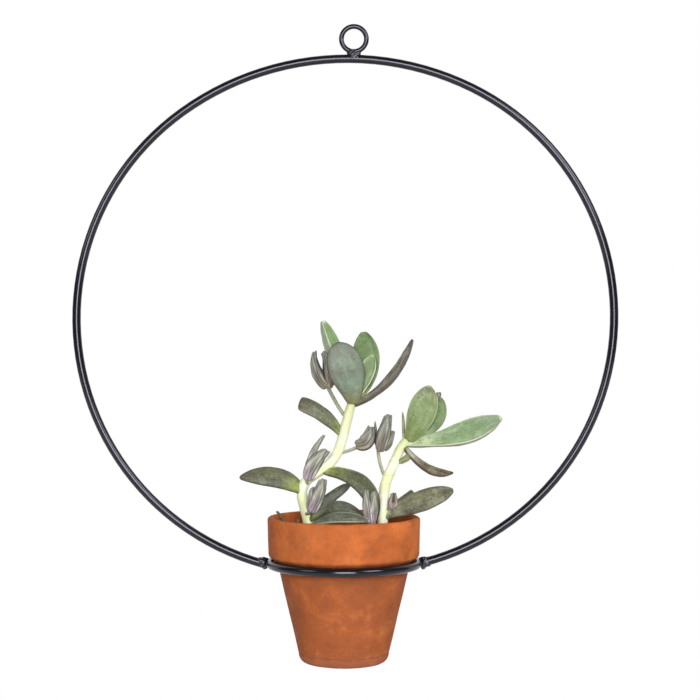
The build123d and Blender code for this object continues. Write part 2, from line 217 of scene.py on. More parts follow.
lobe_shares = (
    (0.00, 0.66, 0.80),
    (0.22, 0.92, 1.00),
    (0.48, 1.00, 1.00),
    (0.74, 0.84, 0.88),
    (0.91, 0.56, 0.64),
    (1.00, 0.28, 0.36),
)

# Leaves: outline, the places of the base, the middle pull and the tip, the way that the face looks,
# the width, the thickness, how far the edges curl forward, and the finish
leaf_shares = {
    "crown_front_leaf": (
        paddle_shares, (0.046, -0.010, 0.568), (0.042, -0.085, 0.700), (-0.042, -0.070, 0.868),
        (0.10, -1.00, 0.10), 0.192, 0.042, -0.004, "grey_leaf",
    ),
    "crown_back_left_leaf": (
        paddle_shares, (0.034, 0.008, 0.575), (-0.010, 0.085, 0.720), (-0.108, 0.075, 0.980),
        (0.72, -0.68, 0.12), 0.134, 0.036, 0.010, "turned_leaf",
    ),
    "crown_back_right_leaf": (
        paddle_shares, (0.044, 0.010, 0.575), (0.142, 0.110, 0.700), (0.097, 0.100, 0.925),
        (-0.30, -1.00, 0.05), 0.154, 0.036, 0.010, "bright_leaf",
    ),
    "crown_inner_leaf": (
        paddle_shares, (0.052, 0.000, 0.585), (0.106, 0.030, 0.680), (0.146, 0.028, 0.806),
        (-0.50, -0.85, 0.10), 0.095, 0.026, 0.010, "inner_leaf",
    ),
    "crown_curved_leaf": (
        curved_shares, (0.034, 0.000, 0.556), (0.248, -0.010, 0.632), (0.341, -0.045, 0.886),
        (-0.62, -0.50, 0.60), 0.077, 0.040, 0.006, "brown_leaf",
    ),
    "blunt_leaf": (
        blunt_shares, (-0.010, 0.000, 0.408), (-0.076, -0.030, 0.516), (-0.222, -0.045, 0.571),
        (0.20, -0.85, 0.50), 0.090, 0.032, 0.003, "olive_leaf",
    ),
    "far_left_leaf": (
        oval_shares, (-0.205, 0.008, 0.126), (-0.305, -0.020, 0.232), (-0.518, -0.045, 0.198),
        (0.05, -0.80, 0.60), 0.122, 0.036, -0.003, "olive_leaf",
    ),
    "arching_leaf": (
        slender_shares, (-0.105, 0.000, 0.232), (0.156, -0.120, 0.228), (0.160, -0.085, -0.006),
        (0.45, -0.75, 0.50), 0.116, 0.036, -0.003, "arched_leaf",
    ),
    "dark_leaf": (
        slender_shares, (-0.178, 0.012, 0.000), (-0.060, 0.070, 0.103), (0.038, 0.075, 0.160),
        (0.30, -0.85, 0.50), 0.060, 0.026, 0.002, "dark_leaf",
    ),
    "low_dome_leaf": (
        slender_shares, (-0.178, 0.000, -0.018), (-0.040, -0.090, 0.115), (0.092, -0.105, 0.012),
        (0.10, -0.80, 0.60), 0.078, 0.034, -0.002, "dark_leaf",
    ),
    "low_front_leaf": (
        slender_shares, (-0.174, 0.000, -0.050), (-0.050, -0.200, 0.045), (0.125, -0.180, -0.005),
        (0.05, -0.75, 0.65), 0.070, 0.034, 0.006, "front_leaf",
    ),
    "right_front_leaf": (
        paddle_shares, (0.322, -0.010, 0.380), (0.382, -0.060, 0.478), (0.426, -0.045, 0.655),
        (0.05, -1.00, 0.15), 0.148, 0.036, 0.006, "mottled_leaf",
    ),
    "right_back_leaf": (
        paddle_shares, (0.316, 0.006, 0.388), (0.466, 0.055, 0.436), (0.486, 0.050, 0.594),
        (-0.30, -0.95, 0.15), 0.116, 0.030, 0.004, "bright_leaf",
    ),
    "right_long_leaf": (
        spoon_shares, (0.308, 0.000, 0.368), (0.556, -0.050, 0.376), (0.781, -0.075, 0.498),
        (-0.20, -0.80, 0.58), 0.150, 0.034, 0.010, "long_leaf",
    ),
    "right_drooping_leaf": (
        curved_shares, (0.292, 0.000, 0.362), (0.408, -0.070, 0.202), (0.541, -0.085, 0.226),
        (0.50, -0.60, 0.65), 0.070, 0.034, 0.003, "drooping_leaf",
    ),
    "right_stub_leaf": (
        blunt_shares, (0.255, -0.004, 0.272), (0.296, -0.020, 0.274), (0.328, -0.030, 0.308),
        (0.30, -0.80, -0.50), 0.040, 0.024, 0.002, "stub_leaf",
    ),
    "right_spike": (
        slender_shares, (0.297, 0.000, 0.372), (0.302, 0.010, 0.440), (0.294, 0.012, 0.525),
        (0.00, -1.00, 0.00), 0.018, 0.012, 0.000, "stub_leaf",
    ),
    "low_right_leaf": (
        paddle_shares, (0.202, -0.012, 0.004), (0.326, -0.070, 0.073), (0.541, -0.080, 0.139),
        (-0.20, -0.80, 0.58), 0.128, 0.036, -0.003, "low_leaf",
    ),
    "low_right_back_leaf": (
        blunt_shares, (0.202, 0.000, 0.030), (0.272, 0.050, 0.062), (0.348, 0.055, 0.120),
        (-0.30, -0.85, 0.45), 0.036, 0.022, 0.000, "low_leaf",
    ),
}

# The withered nub on the tip of the back leaf at the right, in the same order up to the thickness
nub_shares = (
    blunt_shares, (0.480, 0.046, 0.576), (0.478, 0.046, 0.600), (0.476, 0.046, 0.622),
    (0.00, -1.00, 0.00), 0.028, 0.018,
)

# Buds: the stalk from the stem or the soil up, its radius, and the lobes
bud_shares = {
    "upper_bud": (
        ((0.008, 0.020, 0.500), (-0.028, 0.025, 0.550), (-0.080, 0.020, 0.645)), 0.010,
        (
            ((-0.088, 0.016, 0.650), (-0.150, 0.030, 0.705), (-0.151, 0.020, 0.824),
             (-0.55, -0.80, 0.10), 0.066, 0.045),
            ((-0.076, 0.024, 0.645), (-0.064, 0.034, 0.730), (-0.101, 0.024, 0.828),
             (0.50, -0.85, 0.10), 0.068, 0.045),
        ),
    ),
    "left_bud": (
        ((-0.182, -0.010, 0.165), (-0.186, -0.020, 0.180), (-0.188, -0.028, 0.200)), 0.010,
        (
            ((-0.181, -0.028, 0.190), (-0.164, -0.040, 0.266), (-0.086, -0.035, 0.336),
             (0.20, -0.90, 0.35), 0.080, 0.050),
            ((-0.190, -0.012, 0.215), (-0.178, 0.005, 0.300), (-0.100, 0.000, 0.408),
             (0.20, -0.90, 0.20), 0.034, 0.022),
        ),
    ),
    "low_left_bud": (
        ((-0.188, -0.010, 0.015), (-0.178, -0.030, 0.020), (-0.168, -0.038, 0.030)), 0.010,
        (
            ((-0.162, -0.038, 0.028), (-0.126, -0.060, 0.095), (-0.103, -0.045, 0.192),
             (0.20, -0.90, 0.20), 0.070, 0.046),
            ((-0.170, -0.034, 0.030), (-0.168, -0.050, 0.085), (-0.150, -0.040, 0.150),
             (-0.50, -0.85, 0.15), 0.048, 0.036),
        ),
    ),
    "middle_bud": (
        ((0.205, -0.008, 0.200), (0.180, -0.004, 0.270), (0.170, 0.000, 0.345)), 0.009,
        (
            ((0.180, -0.004, 0.328), (0.196, -0.030, 0.410), (0.222, -0.020, 0.512),
             (0.10, -1.00, 0.10), 0.072, 0.046),
            ((0.066, -0.008, 0.364), (0.124, -0.012, 0.352), (0.142, 0.000, 0.450),
             (-0.30, -0.95, 0.20), 0.084, 0.054),
            ((0.200, 0.004, 0.334), (0.228, 0.010, 0.360), (0.246, 0.010, 0.428),
             (0.60, -0.80, 0.10), 0.042, 0.034),
            ((0.166, 0.004, 0.345), (0.156, 0.012, 0.400), (0.156, 0.012, 0.478),
             (0.00, -1.00, 0.00), 0.022, 0.018),
        ),
    ),
    "small_right_bud": (
        ((0.200, -0.010, 0.040), (0.220, -0.022, 0.042), (0.238, -0.030, 0.050)), 0.009,
        (
            ((0.238, -0.030, 0.044), (0.246, -0.036, 0.080), (0.247, -0.032, 0.122),
             (0.10, -1.00, 0.10), 0.048, 0.038),
        ),
    ),
    "low_middle_bud": (
        ((0.127, -0.150, -0.110), (0.129, -0.150, -0.060), (0.134, -0.150, -0.012)), 0.016,
        (
            ((0.132, -0.150, -0.020), (0.114, -0.165, 0.060), (0.110, -0.150, 0.142),
             (-0.30, -0.95, 0.05), 0.052, 0.042),
            ((0.138, -0.150, -0.020), (0.150, -0.160, 0.060), (0.146, -0.150, 0.138),
             (0.40, -0.90, 0.05), 0.050, 0.038),
        ),
    ),
}

# The stalk from the tall stem to the left lobe of the middle bud
bridge_stalk_shares = ((-0.024, 0.000, 0.318), (0.034, -0.004, 0.334), (0.094, -0.006, 0.362))
bridge_radius_share = 0.009

# Folds of a withered lobe: sideways in shares of its width, out of its face in shares of its thickness,
# how far it reaches along the lobe, and its width in shares of the lobe's
fold_shares = (
    (-0.25, 0.22, 0.95, 0.42),
    (0.23, 0.20, 1.01, 0.38),
    (0.00, 0.30, 0.84, 0.30),
    (0.10, -0.30, 0.96, 0.44),
)

# Dry twigs standing in the soil: the foot, the middle and the tip, and the radius. They stand by the
# pot's lip, so they are in shares of its radius.
twig_shares = (
    ((-0.783, 0.029, -0.319), (-0.893, 0.029, -0.043), (-0.974, 0.029, 0.070), 0.0203),
    ((-0.841, -0.058, -0.319), (-0.858, -0.058, -0.174), (-0.884, -0.058, -0.014), 0.0174),
    ((-0.652, -0.174, -0.319), (-0.667, -0.174, -0.174), (-0.661, -0.174, -0.023), 0.0203),
)

# Modelling

def set_mode(mode):
    bpy.ops.object.mode_set(mode=mode)


def select_mesh(action="SELECT"):
    bpy.ops.mesh.select_all(action=action)


def select_only(piece):
    """Leave one piece selected and active, in object mode."""
    if bpy.context.mode != "OBJECT":
        set_mode("OBJECT")
    bpy.ops.object.select_all(action="DESELECT")
    if piece:
        piece.select_set(True)
        bpy.context.view_layer.objects.active = piece


def settle(piece, name):
    """Put the piece's place into its mesh and give it its name."""
    select_only(piece)
    bpy.ops.object.transform_apply(location=True, rotation=True, scale=True)
    piece.name = name
    piece.data.name = name
    return piece


def settle_smooth(piece, name):
    """Settle the piece and shade it smooth."""
    settle(piece, name)
    bpy.ops.object.shade_smooth()
    return piece


def begin_mesh(select_type):
    """Edit the piece that was just added, with all of it selected."""
    piece = bpy.context.object
    bpy.ops.object.transform_apply(location=True, rotation=True, scale=True)
    set_mode("EDIT")
    bpy.ops.mesh.select_mode(type=select_type)
    select_mesh()
    return piece


def end_mesh():
    """Turn all faces outwards and leave edit mode."""
    select_mesh()
    bpy.ops.mesh.normals_make_consistent(inside=False)
    set_mode("OBJECT")


def add_modifier(piece, kind, **values):
    """Add a modifier, set it and apply it."""
    select_only(piece)
    modifier = piece.modifiers.new(kind.title(), kind)
    for key, value in values.items():
        setattr(modifier, key, value)
    bpy.ops.object.modifier_apply(modifier=modifier.name)


def subdivide(piece, levels, kind="CATMULL_CLARK"):
    """Split the faces of a piece, and round it off unless the kind is simple."""
    add_modifier(piece, "SUBSURF", levels=levels, render_levels=levels, subdivision_type=kind)


def plant_point(place, size=plant_height):
    """The point for a place in shares of a size, mostly the plant's height."""
    return mouth + Vector(place) * size


def ring_axes(heading, face):
    """The across, flat and forward directions of a ring that looks along the heading."""
    forward = heading.normalized()
    across = heading.cross(face).normalized()
    return across, forward.cross(across), forward


def pick_rings(piece, wanted):
    """Select the points of a piece in edit mode whose numbers are wanted."""
    mesh = bmesh.from_edit_mesh(piece.data)
    mesh.verts.ensure_lookup_table()
    for vert in mesh.verts:
        vert.select = vert.index in wanted
    mesh.select_flush(True)
    mesh.select_flush(False)
    bmesh.update_edit_mesh(piece.data)


def skin_rings(rings, sides, cap_share=0.35):
    """A closed skin over rings, each with its centre, axes, half width and half thickness."""
    select_only(None)
    piece = None
    for i, (centre, axes, half_width, half_thickness) in enumerate(rings):
        bpy.ops.mesh.primitive_circle_add(vertices=sides, radius=half_width, location=centre)
        if i == 0:
            piece = begin_mesh("VERT")
        bpy.ops.transform.resize(value=(1, half_thickness / half_width, 1), center_override=centre)
        for axis, angle in zip("XYZ", Matrix(axes).transposed().to_euler()):
            bpy.ops.transform.rotate(value=-angle, orient_axis=axis, center_override=centre)
        if i:
            pick_rings(piece, range((i - 1) * sides, (i + 1) * sides))
            bpy.ops.mesh.bridge_edge_loops()
    count = len(rings) * sides
    for first, ring, side in ((count - sides, rings[-1], 1), (0, rings[0], -1)):
        centre, axes, half_width, half_thickness = ring
        pick_rings(piece, range(first, first + sides))
        reach = axes[2] * side * min(half_width, half_thickness) * cap_share
        bpy.ops.mesh.extrude_region_move(TRANSFORM_OT_translate={"value": reach})
        bpy.ops.mesh.merge(type="CENTER")
    end_mesh()
    return piece


def mark_surface(piece, rings):
    """Store how far along, across and through the piece each point lies, for its finish."""
    along, across, front = (
        piece.data.attributes.new(name, "FLOAT", "POINT") for name in ("along", "across", "front")
    )
    for vert in piece.data.vertices:
        nearest = min(range(len(rings)), key=lambda i: (vert.co - rings[i][0]).length - rings[i][2])
        plane_gaps = [abs((vert.co - ring[0]).dot(ring[1][2])) for ring in rings]
        near = [i for i, gap in enumerate(plane_gaps) if gap < in_plane and abs(i - nearest) < 3]
        i = min(near, key=lambda k: (vert.co - rings[k][0]).length) if near else nearest
        centre, axes, half_width, half_thickness = rings[i]
        offset = vert.co - centre
        along.data[vert.index].value = i / (len(rings) - 1)
        across.data[vert.index].value = offset.dot(axes[0]) / half_width
        front.data[vert.index].value = -offset.dot(axes[1]) / half_thickness


def blade_rings(outline, base, middle, tip, face, width, thickness):
    """The rings of a fleshy blade along a curve from its base to its tip."""
    root = plant_point(base)
    pull = plant_point(middle)
    end = plant_point(tip)
    half_size = plant_height / 2
    rings = []
    for i in range(blade_ring_count):
        along = 1 - (1 - i / (blade_ring_count - 1)) ** tip_crowding
        k = next(j for j in range(len(outline) - 1) if along <= outline[j + 1][0] + 1e-9)
        near, far = outline[k], outline[k + 1]
        share = (along - near[0]) / (far[0] - near[0])
        wide = near[1] + (far[1] - near[1]) * share
        thick = near[2] + (far[2] - near[2]) * share
        back = 1 - along
        centre = root * back**2 + pull * (2 * along * back) + end * along**2
        heading = (pull - root) * back + (end - pull) * along
        axes = ring_axes(heading, Vector(face))
        rings.append((centre, axes, width * wide * half_size, thickness * thick * half_size))
    return rings


def curl_edges(piece, rings, reach):
    """Move the two edges of a blade along the way that its face looks."""
    select_only(piece)
    set_mode("EDIT")
    mesh = bmesh.from_edit_mesh(piece.data)
    layer = mesh.verts.layers.float["across"]
    for vert in mesh.verts:
        vert.select = abs(vert[layer]) > edge_share
    mesh.select_flush(True)
    bmesh.update_edit_mesh(piece.data)
    flat = sum((ring[1][1] for ring in rings), Vector()) / len(rings)
    bpy.ops.transform.translate(value=-flat * reach)
    select_mesh()
    bpy.ops.transform.translate(value=flat * reach / 2)
    set_mode("OBJECT")


def roughen(piece, size, strength):
    """Push the surface in and out a little, as living tissue grows."""
    texture = bpy.data.textures.new(piece.name + "_swell", "CLOUDS")
    texture.noise_scale = size
    add_modifier(
        piece, "DISPLACE", texture=texture, strength=strength, mid_level=0.5, texture_coords="GLOBAL",
    )


def grow_blade(name, shape, curl=0.0, swell=0.0008):
    """A leaf or a lobe: skinned, curled, subdivided and a little uneven."""
    rings = blade_rings(*shape)
    piece = skin_rings(rings, blade_sides)
    mark_surface(piece, rings)
    if curl:
        curl_edges(piece, rings, curl * plant_height)
    subdivide(piece, 2)
    roughen(piece, 0.011, swell)
    return settle_smooth(piece, name)


def folds_of(lobe):
    """Narrow folds that stand out of a lobe's face and end above or below its tip."""
    base, middle, tip, face, width, thickness = lobe
    root, pull, end, front = Vector(base), Vector(middle), Vector(tip), Vector(face).normalized()
    across = (end - root).cross(front).normalized()
    folds = []
    for side, rise, reach, wide in fold_shares:
        aside = across * side * width
        out = front * rise * thickness
        folds.append((
            root + aside * 0.5 + out * 0.6, pull + aside + out, root + (end - root) * reach + aside * 0.9,
            face, width * wide, thickness * 0.5,
        ))
    return folds


def round_rings(points, radii):
    """Round rings along a line of points."""
    rings = []
    for i, point in enumerate(points):
        heading = points[min(i + 1, len(points) - 1)] - points[max(i - 1, 0)]
        rings.append((point, ring_axes(heading, Vector((0, -1, 0))), radii[i], radii[i]))
    return rings


def smooth_line(points, radii, steps):
    """More points between the given ones, on a smooth line through them."""
    line, sizes = [], []
    last = len(points) - 1
    for i in range(last):
        a, b = points[max(i - 1, 0)], points[i]
        c, d = points[i + 1], points[min(i + 2, last)]
        for j in range(steps):
            t = j / steps
            line.append(
                (b * 2 + (c - a) * t + (a * 2 - b * 5 + c * 4 - d) * t**2
                 + (b * 3 - a - c * 3 + d) * t**3) / 2
            )
            sizes.append(radii[i] + (radii[i + 1] - radii[i]) * t)
    return line + [points[last]], sizes + [radii[last]]


def grow_stem(name, shares, scar_share):
    """A stem with a slight swelling at each old leaf scar."""
    points = [plant_point(place) for place, radius in shares]
    radii = [radius * plant_height for place, radius in shares]
    line, sizes = smooth_line(points, radii, 4)
    for i in range(2, len(sizes) - 1, 4):
        sizes[i] *= 1 + scar_share
    rings = round_rings(line, sizes)
    piece = skin_rings(rings, blade_sides, 0.7)
    mark_surface(piece, rings)
    subdivide(piece, 2)
    roughen(piece, 0.006, 0.0005)
    return settle_smooth(piece, name)


def grow_stalk(places, radius, reach=plant_height):
    """A thin stalk or twig through three places."""
    a, b, c = (plant_point(place, reach) for place in places)
    pull = b * 2 - (a + c) / 2
    line = []
    for i in range(stalk_steps + 1):
        t = i / stalk_steps
        line.append(a * (1 - t) ** 2 + pull * 2 * t * (1 - t) + c * t**2)
    rings = round_rings(line, [radius * reach] * len(line))
    piece = skin_rings(rings, stalk_sides, 0.8)
    mark_surface(piece, rings)
    subdivide(piece, 1)
    return piece


def round_corners(section, steps):
    """A closed outline of corners with their roundings, as points."""
    points = []
    for i, (across, up, radius) in enumerate(section):
        corner = Vector((across, up))
        before = (Vector(section[i - 1][:2]) - corner).normalized()
        after = (Vector(section[(i + 1) % len(section)][:2]) - corner).normalized()
        half = before.angle(after) / 2
        middle = (before + after).normalized() * radius / sin(half)
        start = before * radius / tan(half) - middle
        end = after * radius / tan(half) - middle
        for j in range(steps + 1):
            points.append(corner + middle + start.slerp(end, j / steps).normalized() * radius)
    return points


def closer(points, most):
    """The closed line of points, with more points where two are further apart than the most."""
    line = []
    for near, far in zip(points, points[1:] + points[:1]):
        count = ceil((far - near).length / most)
        line += [near.lerp(far, i / count) for i in range(max(count, 1))]
    return line


def throw_pot():
    """The clay pot, spun from its section, with the slight unevenness of fired clay."""
    outline = [
        Vector((mouth.x + point.x, 0, mouth.z + point.y))
        for point in closer(round_corners(pot_section, corner_steps), outline_step)
    ]
    select_only(None)
    bpy.ops.mesh.primitive_plane_add(size=seed_size, location=outline[0])
    piece = begin_mesh("VERT")
    bpy.ops.mesh.merge(type="CENTER")
    for near, far in zip(outline, outline[1:] + outline[:1]):
        bpy.ops.mesh.extrude_vertices_move(TRANSFORM_OT_translate={"value": far - near})
    select_mesh()
    bpy.ops.mesh.remove_doubles(threshold=1e-6)
    bpy.ops.mesh.spin(steps=spin_steps, angle=2 * pi, center=pot_axis, axis=(0, 0, 1))
    select_mesh()
    bpy.ops.mesh.remove_doubles(threshold=1e-6)
    end_mesh()
    piece.name = "thrown_pot"
    roughen(piece, 0.030, 0.0005)
    roughen(piece, 0.005, 0.00012)
    return settle_smooth(piece, "thrown_pot")


def lay_weld(name, centre, lumps, side):
    """A weld bead: lumps of metal run together round the joint."""
    parts = []
    for x, y, z, size in lumps:
        select_only(None)
        place = centre + Vector((x * side, y, z)) * weld_radius
        bpy.ops.mesh.primitive_ico_sphere_add(subdivisions=3, radius=size * weld_radius, location=place)
        parts.append(bpy.context.object)
    bead = joined(parts, name)
    add_modifier(bead, "REMESH", mode="VOXEL", voxel_size=bead_voxel)
    add_modifier(bead, "SMOOTH", factor=0.5, iterations=3)
    roughen(bead, 0.0028, 0.0011)
    roughen(bead, 0.0012, 0.0002)
    return settle_smooth(bead, name)


def heap_soil():
    """The potting mix: a block that fills the pot, with a lumpy top."""
    radius, height = soil_radius, soil_sink
    top = soil_high.z
    select_only(None)
    bpy.ops.mesh.primitive_circle_add(
        vertices=96, radius=radius, fill_type="NGON", location=(mouth.x, 0, top - soil_sink),
    )
    piece = begin_mesh("FACE")
    for i in range(soil_ring_count):
        bpy.ops.mesh.inset(thickness=radius / (soil_ring_count + 1))
    bpy.ops.mesh.poke()
    set_mode("OBJECT")
    subdivide(piece, 2, "SIMPLE")
    piece.name = "potting_mix"
    roughen(piece, 0.010, 0.0018)
    roughen(piece, 0.0022, 0.0011)
    select_only(piece)
    set_mode("EDIT")
    select_mesh("DESELECT")
    bpy.ops.mesh.select_mode(type="EDGE")
    bpy.ops.mesh.select_non_manifold()
    for wall, down in soil_section:
        bpy.ops.mesh.extrude_region_move(TRANSFORM_OT_translate={"value": (0, 0, height - down)})
        share = wall / radius
        bpy.ops.transform.resize(value=(share, share, 1), center_override=(mouth.x, 0, top))
        radius, height = wall, down
    bpy.ops.mesh.edge_face_add()
    end_mesh()
    return settle_smooth(piece, "potting_mix")


def scatter_crumbs(name, count, low, high, flat, seed):
    """Crumbs of the mix, lying on its top."""
    chance = Random(seed)
    reach = soil_radius - crumb_margin
    crumbs = []
    for i in range(count):
        turn = chance.uniform(0, 2 * pi)
        out = reach * chance.uniform(0.0, 1.0) ** 0.5
        size = chance.uniform(low, high)
        select_only(None)
        bpy.ops.mesh.primitive_ico_sphere_add(
            subdivisions=1, radius=size,
            location=(mouth.x + out * cos(turn), out * sin(turn), soil_high.z + size * flat * 0.2),
            rotation=(chance.uniform(-0.5, 0.5), chance.uniform(-0.5, 0.5), turn * 3),
            scale=(1.0, chance.uniform(0.55, 0.9), flat * chance.uniform(0.7, 1.0)),
        )
        crumbs.append(bpy.context.object)
    heap = joined(crumbs, name)
    roughen(heap, 0.0016, 0.0007)
    settle(heap, name)
    bpy.ops.object.shade_flat()
    return heap


def joined(pieces, name):
    """The pieces as one."""
    select_only(pieces[0])
    for piece in pieces:
        piece.select_set(True)
    bpy.ops.object.join()
    return settle_smooth(pieces[0], name)


# Finishes

class Finish:
    """A material, with short ways to add and link its nodes."""

    def __init__(self, name, roughness, **constants):
        self.material = bpy.data.materials.new(name)
        self.material.use_nodes = True
        self.tree = self.material.node_tree
        self.shader = self.tree.nodes["Principled BSDF"]
        self.shader.inputs["Roughness"].default_value = roughness
        for key, value in constants.items():
            self.shader.inputs[key.replace("_", " ")].default_value = value

    def node(self, kind, inputs=(), **values):
        node = self.tree.nodes.new("ShaderNode" + kind)
        for key, value in values.items():
            setattr(node, key, value)
        for key, value in dict(inputs).items():
            if isinstance(value, bpy.types.NodeSocket):
                self.tree.links.new(value, node.inputs[key])
            else:
                node.inputs[key].default_value = value
        return node

    def place(self, scale=(1, 1, 1), location=(0, 0, 0)):
        """The object's own coordinates, scaled and moved."""
        coordinates = self.node("TexCoord").outputs["Object"]
        return self.node(
            "Mapping", {"Vector": coordinates, "Scale": scale, "Location": location}
        ).outputs["Vector"]

    def split(self, vector, axis):
        """One coordinate of a place."""
        return self.node("SeparateXYZ", {"Vector": vector}).outputs[axis]

    def combine(self, x, y, z):
        """A place made of three numbers."""
        return self.node("CombineXYZ", {"X": x, "Y": y, "Z": z}).outputs["Vector"]

    def read(self, name):
        """A number stored on the piece's points."""
        return self.node("Attribute", attribute_name=name).outputs["Fac"]

    def noise(self, vector, scale, detail=3.0, roughness=0.5):
        return self.node(
            "TexNoise", {"Vector": vector, "Scale": scale, "Detail": detail, "Roughness": roughness}
        ).outputs["Fac"]

    def spread(self, value, low, high, start=0.0, end=1.0):
        """The value's range from low to high, as start to end."""
        return self.node(
            "MapRange",
            {"Value": value, "From Min": low, "From Max": high, "To Min": start, "To Max": end},
            clamp=True,
        ).outputs["Result"]

    def math(self, operation, a, b=0.0):
        return self.node("Math", {0: a, 1: b}, operation=operation).outputs["Value"]

    def times(self, a, b):
        return self.math("MULTIPLY", a, b)

    def band(self, value, rise, fall):
        """On from the end of the rise to the start of the fall, each a range of the value."""
        return self.times(self.spread(value, *rise), self.spread(value, *fall, 1.0, 0.0))

    def mix(self, factor, a, b):
        return self.node("Mix", {0: factor, 6: a, 7: b}, data_type="RGBA").outputs[2]

    def tint(self, tone, mask, strength, colour):
        """The tone, turned towards a colour where the mask is on."""
        return self.mix(self.times(mask, strength), tone, colour)

    def color(self, socket):
        self.tree.links.new(socket, self.shader.inputs["Base Color"])

    def rough(self, socket):
        self.tree.links.new(socket, self.shader.inputs["Roughness"])

    def bump(self, height, strength, distance):
        bump = self.node("Bump", {"Height": height, "Strength": strength, "Distance": distance})
        self.tree.links.new(bump.outputs["Normal"], self.shader.inputs["Normal"])


def rgb(red, green, blue):
    """A colour from 0 to 255 as it shows, in the linear values that shaders take."""
    def linear(value):
        value /= 255
        return value / 12.92 if value <= 0.04045 else ((value + 0.055) / 1.055) ** 2.4
    return linear(red), linear(green), linear(blue), 1.0


def wire_coat(name, low, high, shine):
    """Black coat on steel, with its least and greatest roughness and its shine."""
    coat = Finish(
        name, (low + high) / 2, Specular_IOR_Level=shine, Specular_Tint=(0.86, 0.86, 1.0, 1.0),
    )
    place = coat.place()
    tone = coat.spread(coat.noise(place, 90.0), 0.35, 0.7)
    coat.color(coat.mix(tone, rgb(9, 9, 13), rgb(17, 17, 22)))
    coat.rough(coat.spread(coat.noise(place, 60.0), 0.3, 0.7, low, high))
    coat.bump(coat.noise(place, 140.0, 1.0), 0.03, 0.0003)
    return coat.material


def fired_clay():
    """Terracotta: mottled, scuffed and scratched, brighter on the rim, dusky round the foot."""
    clay = Finish("fired_clay", 0.8, Specular_IOR_Level=0.25)
    place = clay.place(location=(-mouth.x, 0, -mouth.z))
    waver = clay.spread(clay.noise(place, 60.0), 0.3, 0.7, -0.001, 0.001)
    height = clay.math("ADD", clay.split(place, "Z"), waver)
    # Rim and body
    body = clay.spread(height, -0.0290, -0.0262, 1.0, 0.0)
    cloud = clay.spread(clay.noise(place, 30.0, 5.0, 0.62), 0.36, 0.66)
    rim_tone = clay.mix(cloud, rgb(180, 92, 40), rgb(213, 118, 58))
    body_tone = clay.mix(cloud, rgb(146, 77, 40), rgb(178, 95, 47))
    tone = clay.mix(body, rim_tone, body_tone)
    # Wiped patches and smudges
    wiped = clay.noise(clay.place((18.0, 18.0, 24.0), (0.3, 0.2, 0.1)), 3.0, 6.0, 0.70)
    tone = clay.mix(clay.spread(wiped, 0.50, 0.66, 0.0, 0.60), tone, rgb(132, 72, 38))
    tone = clay.mix(clay.spread(wiped, 0.46, 0.32, 0.0, 0.40), tone, rgb(216, 126, 70))
    smudge_place = clay.place((1, 1, 0.7), (0.3, 0, 0))
    smudge = clay.spread(clay.noise(smudge_place, 17.0, 3.0, 0.55), 0.50, 0.68)
    tone = clay.tint(tone, smudge, 0.40, rgb(140, 78, 50))
    # Grain and speckles
    grain = clay.noise(place, 620.0, 4.0, 0.65)
    tone = clay.mix(clay.spread(grain, 0.46, 0.30, 0.0, 0.32), tone, rgb(122, 64, 40))
    speckle = clay.spread(clay.noise(place, 1500.0, 1.0), 0.66, 0.74)
    tone = clay.tint(tone, speckle, 0.25, rgb(222, 144, 98))
    # Level scratches, most of them low down
    scratch_place = clay.place((22.0, 22.0, 240.0), (0.4, 0.1, 0.2))
    scratch = clay.spread(clay.noise(scratch_place, 1.0, 5.0, 0.75), 0.60, 0.68)
    scratch = clay.times(scratch, clay.spread(height, -0.090, -0.076, 1.0, 0.15))
    tone = clay.tint(tone, scratch, 0.45, rgb(218, 146, 108))
    # Dusty foot, a painted shadow line in the groove above it and painted shade under the rim
    foot = clay.spread(height, -0.0985, -0.0915, 1.0, 0.0)
    tone = clay.tint(tone, foot, 0.55, rgb(156, 94, 70))
    # Painted shadow: a thin broken dark line in the groove above the foot
    edge = clay.band(height, (-0.0958, -0.0950), (-0.0944, -0.0937))
    foot_shadow_line = clay.times(edge, clay.spread(clay.noise(place, 170.0, 5.0, 0.7), 0.40, 0.56))
    tone = clay.tint(tone, foot_shadow_line, 0.42, rgb(104, 62, 46))
    neck = clay.band(height, (-0.0385, -0.0335), (-0.0300, -0.0265))
    tone = clay.tint(tone, neck, 0.60, rgb(96, 48, 28))
    clay.color(tone)
    clay.rough(clay.spread(cloud, 0.0, 1.0, 0.70, 0.88))
    clay.bump(clay.math("ADD", grain, clay.times(scratch, 0.8)), 0.45, 0.0005)
    return clay.material


